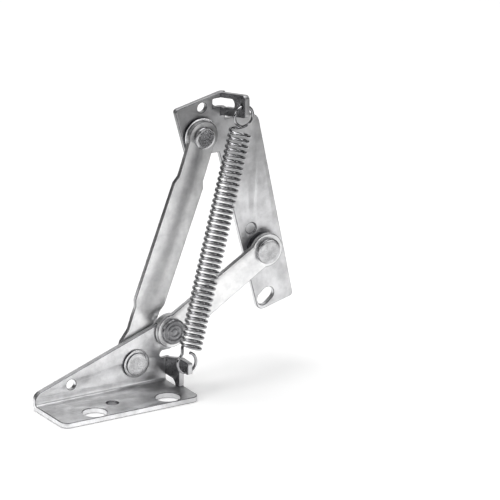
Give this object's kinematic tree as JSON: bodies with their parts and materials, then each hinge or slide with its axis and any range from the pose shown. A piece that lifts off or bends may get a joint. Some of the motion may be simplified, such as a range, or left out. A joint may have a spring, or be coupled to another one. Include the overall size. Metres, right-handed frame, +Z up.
{
  "type": "spring hinge",
  "caption": "Sprung flap hinge in folded plated sheet: a foot bracket, a long arm, a short link and a wing plate joined by rivets, with a tension spring hooked between two lugs.",
  "frame": {"origin": "midway between the two large holes of the foot flange, on the flange's underside", "axes": "+Z up from the flange to the wing plate, +Y from the flange's free edge to the web and the back of the wing plate, +X from the long end of the foot to the spring's end"},
  "size_m": [0.1254, 0.031, 0.1278],
  "materials": {
    "plated_sheet": "bright zinc plating with faint rolling streaks",
    "plated_rivet": "bright zinc plating, pressed heads",
    "spring_wire": "polished plated spring wire"
  },
  "bodies": {
    "foot": {"foot_bracket": "plated_sheet", "foot_arm_rivet": "plated_rivet", "foot_arm_ring": "plated_rivet", "foot_arm_washer": "plated_rivet", "foot_arm_tail_washer": "plated_rivet", "foot_link_rivet": "plated_rivet", "foot_link_washer": "plated_rivet"},
    "arm": {"long_arm": "plated_sheet", "arm_plate_rivet": "plated_rivet", "arm_plate_spacer": "plated_rivet", "arm_plate_tail_washer": "plated_rivet"},
    "plate": {"upper_plate": "plated_sheet"},
    "link": {"short_link": "plated_sheet", "link_plate_rivet": "plated_rivet", "link_plate_spacer": "plated_rivet", "link_plate_tail_washer": "plated_rivet"},
    "spring": {"tension_spring": "spring_wire"},
    "spring_top": {"spring_top_loop": "spring_wire"}
  },
  "joints": [
    {"name": "arm_swing", "type": "hinge", "parent": "foot", "child": "arm", "pos_m": [0.0128, 0.0186, 0.0122], "axis": [0, -1, 0], "range_deg": [0, 75], "stiffness_Nm_per_rad": 0.155, "springref_deg": -44.69},
    {"name": "plate_turn", "type": "hinge", "parent": "arm", "child": "plate", "pos_m": [0.0451, 0.0186, 0.1066], "axis": [0, -1, 0], "range_deg": [-18.05, 0]},
    {"name": "link_swing", "type": "hinge", "parent": "foot", "child": "link", "pos_m": [0.0292, 0.0186, 0.0242], "axis": [0, -1, 0], "range_deg": [0, 102.8]},
    {"name": "spring_swing", "type": "hinge", "parent": "foot", "child": "spring", "pos_m": [0.0285, 0.0032, 0.0145], "axis": [0, -1, 0], "range_deg": [0, 70.95]},
    {"name": "spring_stretch", "type": "slide", "parent": "spring", "child": "spring_top", "axis": [0.2559, 0, 0.9667], "range_m": [0, 0.01602], "deforming": ["tension_spring", "spring_top_loop"]}
  ],
  "couplings": [
    {"joint": "plate_turn", "follows": "arm_swing", "ratio": -0.24062},
    {"joint": "link_swing", "follows": "arm_swing", "ratio": 1.37},
    {"joint": "spring_swing", "follows": "arm_swing", "ratio": 0.94543},
    {"joint": "spring_stretch", "follows": "arm_swing", "m_per_rad": 0.012227}
  ]
}
